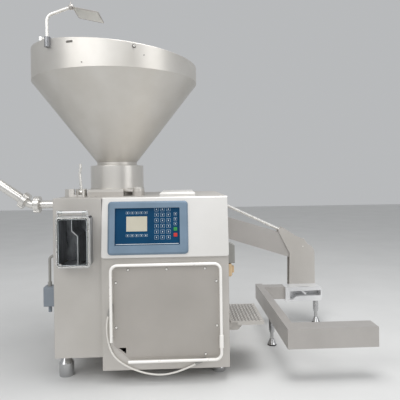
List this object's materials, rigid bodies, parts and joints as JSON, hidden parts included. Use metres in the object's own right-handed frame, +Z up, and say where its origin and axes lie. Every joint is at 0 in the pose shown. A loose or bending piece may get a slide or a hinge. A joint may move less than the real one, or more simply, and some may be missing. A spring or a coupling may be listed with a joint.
{
  "type": "vacuum filler",
  "caption": "Stainless vacuum filling machine with a swinging conical hopper, vane pump, inclined filling pipe, keypad head, folding step and a parallel-arm trolley lift",
  "frame": {"origin": "on the floor, under the middle of the machine's bounding box without its loose cable", "axes": "+X to the operator's right, from the filling pipe to the lift; +Y away from the operator; +Z up"},
  "size_m": [2.336, 1.1792, 2.1266],
  "materials": {
    "blasted_stainless": "bead blasted",
    "panel_stainless": "bead blasted",
    "control_stainless": "satin",
    "satin_stainless": "satin",
    "polished_steel": "polished",
    "tool_steel": "ground",
    "vane_plastic": "matt",
    "drive_paint": "semi-gloss",
    "black_rubber": "matt",
    "bezel_plastic": "matt",
    "keypad_film": "satin",
    "screen_glass": "gloss",
    "green_plastic": "gloss",
    "red_plastic": "gloss",
    "clear_plastic": "clear",
    "mirror_silver": "polished",
    "cream_plastic": "matt",
    "grey_plastic": "matt",
    "knob_plastic": "matt",
    "blue_grey_plastic": "matt",
    "white_cable": "matt"
  },
  "bodies": {
    "machine": {"pump_cabinet": "blasted_stainless", "drive_cabinet": "blasted_stainless", "top_plate": "blasted_stainless", "rear_panel": "blasted_stainless", "top_hatch": "blasted_stainless", "step_bracket": "blasted_stainless", "lift_column": "blasted_stainless", "base_frame": "blasted_stainless", "cover_panel": "panel_stainless", "control_box": "control_stainless", "vessel_body": "satin_stainless", "vessel_baffle": "satin_stainless", "clamp_base": "satin_stainless", "union_nuts": "satin_stainless", "outlet_tube": "satin_stainless", "outlet_elbow": "satin_stainless", "filling_pipe": "satin_stainless", "electrics_box": "satin_stainless", "guard_rod": "polished_steel", "cover_screws": "polished_steel", "hopper_pin": "polished_steel", "machine_feet": "polished_steel", "pump_housing": "tool_steel", "gear_motor": "drive_paint", "vacuum_pump": "drive_paint", "lever_socket": "black_rubber", "bezel": "bezel_plastic", "keypad_plate": "keypad_film", "screen": "screen_glass", "isolator_housing": "cream_plastic", "isolator_hood": "grey_plastic", "conduit": "grey_plastic", "cable_glands": "grey_plastic", "connector_box": "blue_grey_plastic", "control_cable": "white_cable"},
    "hopper": {"hopper_neck": "satin_stainless", "hopper_bowl": "satin_stainless", "mirror_bracket": "satin_stainless"},
    "spiral": {"feed_spiral": "satin_stainless"},
    "rotor": {"pump_rotor": "tool_steel", "pump_vanes": "vane_plastic"},
    "clamp": {"clamp_lever": "polished_steel"},
    "mirror_arm": {"mirror_post": "polished_steel"},
    "mirror": {"mirror_plate": "satin_stainless", "mirror_glass": "mirror_silver"},
    "thumb_screw": {"mirror_screw": "polished_steel"},
    "start_button": {"start_key": "green_plastic"},
    "stop_button": {"stop_key": "red_plastic"},
    "lid": {"vessel_lid": "clear_plastic"},
    "lever": {"knee_lever": "polished_steel"},
    "main_switch": {"isolator_handle": "knob_plastic"},
    "step": {"step_platform": "blasted_stainless"},
    "arm": {"lift_arm": "blasted_stainless"},
    "rod": {"tie_rod": "polished_steel"},
    "head": {"mast": "blasted_stainless", "head_block": "blasted_stainless", "fork_arms": "blasted_stainless", "fork_feet": "polished_steel", "fork_pads": "black_rubber"},
    "latch": {"latch_hook": "polished_steel"}
  },
  "joints": [
    {"name": "hopper_swing", "type": "hinge", "parent": "machine", "child": "hopper", "pos_m": [-0.17749, -0.20335, 1.058], "axis": [0, 0, -1], "range_deg": [0, 90]},
    {"name": "spiral_turn", "type": "hinge", "parent": "hopper", "child": "spiral", "pos_m": [-0.32749, -0.01955, 1.1], "axis": [0, 0, 1], "continuous": true},
    {"name": "rotor_turn", "type": "hinge", "parent": "machine", "child": "rotor", "pos_m": [-0.32749, -0.01955, 0.95], "axis": [0, 0, 1], "continuous": true},
    {"name": "clamp_turn", "type": "hinge", "parent": "machine", "child": "clamp", "pos_m": [-0.51599, -0.24035, 1.052], "axis": [1, 0, 0], "range_deg": [0, 75]},
    {"name": "mirror_swivel", "type": "hinge", "parent": "hopper", "child": "mirror_arm", "pos_m": [-0.65096, -0.44819, 1.91958], "axis": [0, 0, 1], "range_deg": [-90, 90]},
    {"name": "mirror_tilt", "type": "hinge", "parent": "mirror_arm", "child": "mirror", "pos_m": [-0.51696, -0.44819, 2.09658], "axis": [0.9392, 0, 0.3434], "range_deg": [-20, 20]},
    {"name": "screw_turn", "type": "hinge", "parent": "hopper", "child": "thumb_screw", "pos_m": [-0.67096, -0.44819, 1.91958], "axis": [1, 0, 0], "range_deg": [-180, 180]},
    {"name": "start_press", "type": "slide", "parent": "machine", "child": "start_button", "axis": [0, 0.9874, -0.1585], "range_m": [0, 0.0015], "stiffness_N_per_m": 300},
    {"name": "stop_press", "type": "slide", "parent": "machine", "child": "stop_button", "axis": [0, 0.9874, -0.1585], "range_m": [0, 0.0015], "stiffness_N_per_m": 300},
    {"name": "lid_swing", "type": "hinge", "parent": "machine", "child": "lid", "pos_m": [-0.49399, -0.58035, 0.954], "axis": [-1, 0, 0], "range_deg": [0, 110]},
    {"name": "lever_swing", "type": "hinge", "parent": "machine", "child": "lever", "pos_m": [0.29801, -0.54035, 0.22], "axis": [0, 0, 1], "range_deg": [0, 80]},
    {"name": "switch_turn", "type": "hinge", "parent": "machine", "child": "main_switch", "pos_m": [0.37901, -0.34035, 0.585], "axis": [1, 0, 0], "range_deg": [0, 90]},
    {"name": "step_fold", "type": "hinge", "parent": "machine", "child": "step", "pos_m": [0.36801, -0.25835, 0.288], "axis": [0, -1, 0], "range_deg": [0, 90]},
    {"name": "lift_raise", "type": "hinge", "parent": "machine", "child": "arm", "pos_m": [0.42301, 0.54365, 0.781], "axis": [0, -1, 0], "range_deg": [0, 85]},
    {"name": "head_level", "type": "hinge", "parent": "arm", "child": "head", "pos_m": [0.95801, 0.54365, 0.528], "axis": [0, -1, 0], "range_deg": [-85, 0]},
    {"name": "rod_follow", "type": "hinge", "parent": "machine", "child": "rod", "pos_m": [0.33301, 0.54365, 0.961], "axis": [0, -1, 0], "range_deg": [0, 85]},
    {"name": "latch_turn", "type": "hinge", "parent": "head", "child": "latch", "pos_m": [0.99001, 0.40065, 0.274], "axis": [0, -1, 0], "range_deg": [0, 60]}
  ],
  "couplings": [
    {"joint": "spiral_turn", "follows": "rotor_turn", "ratio": 1},
    {"joint": "head_level", "follows": "lift_raise", "ratio": -1},
    {"joint": "rod_follow", "follows": "lift_raise", "ratio": 1}
  ]
}
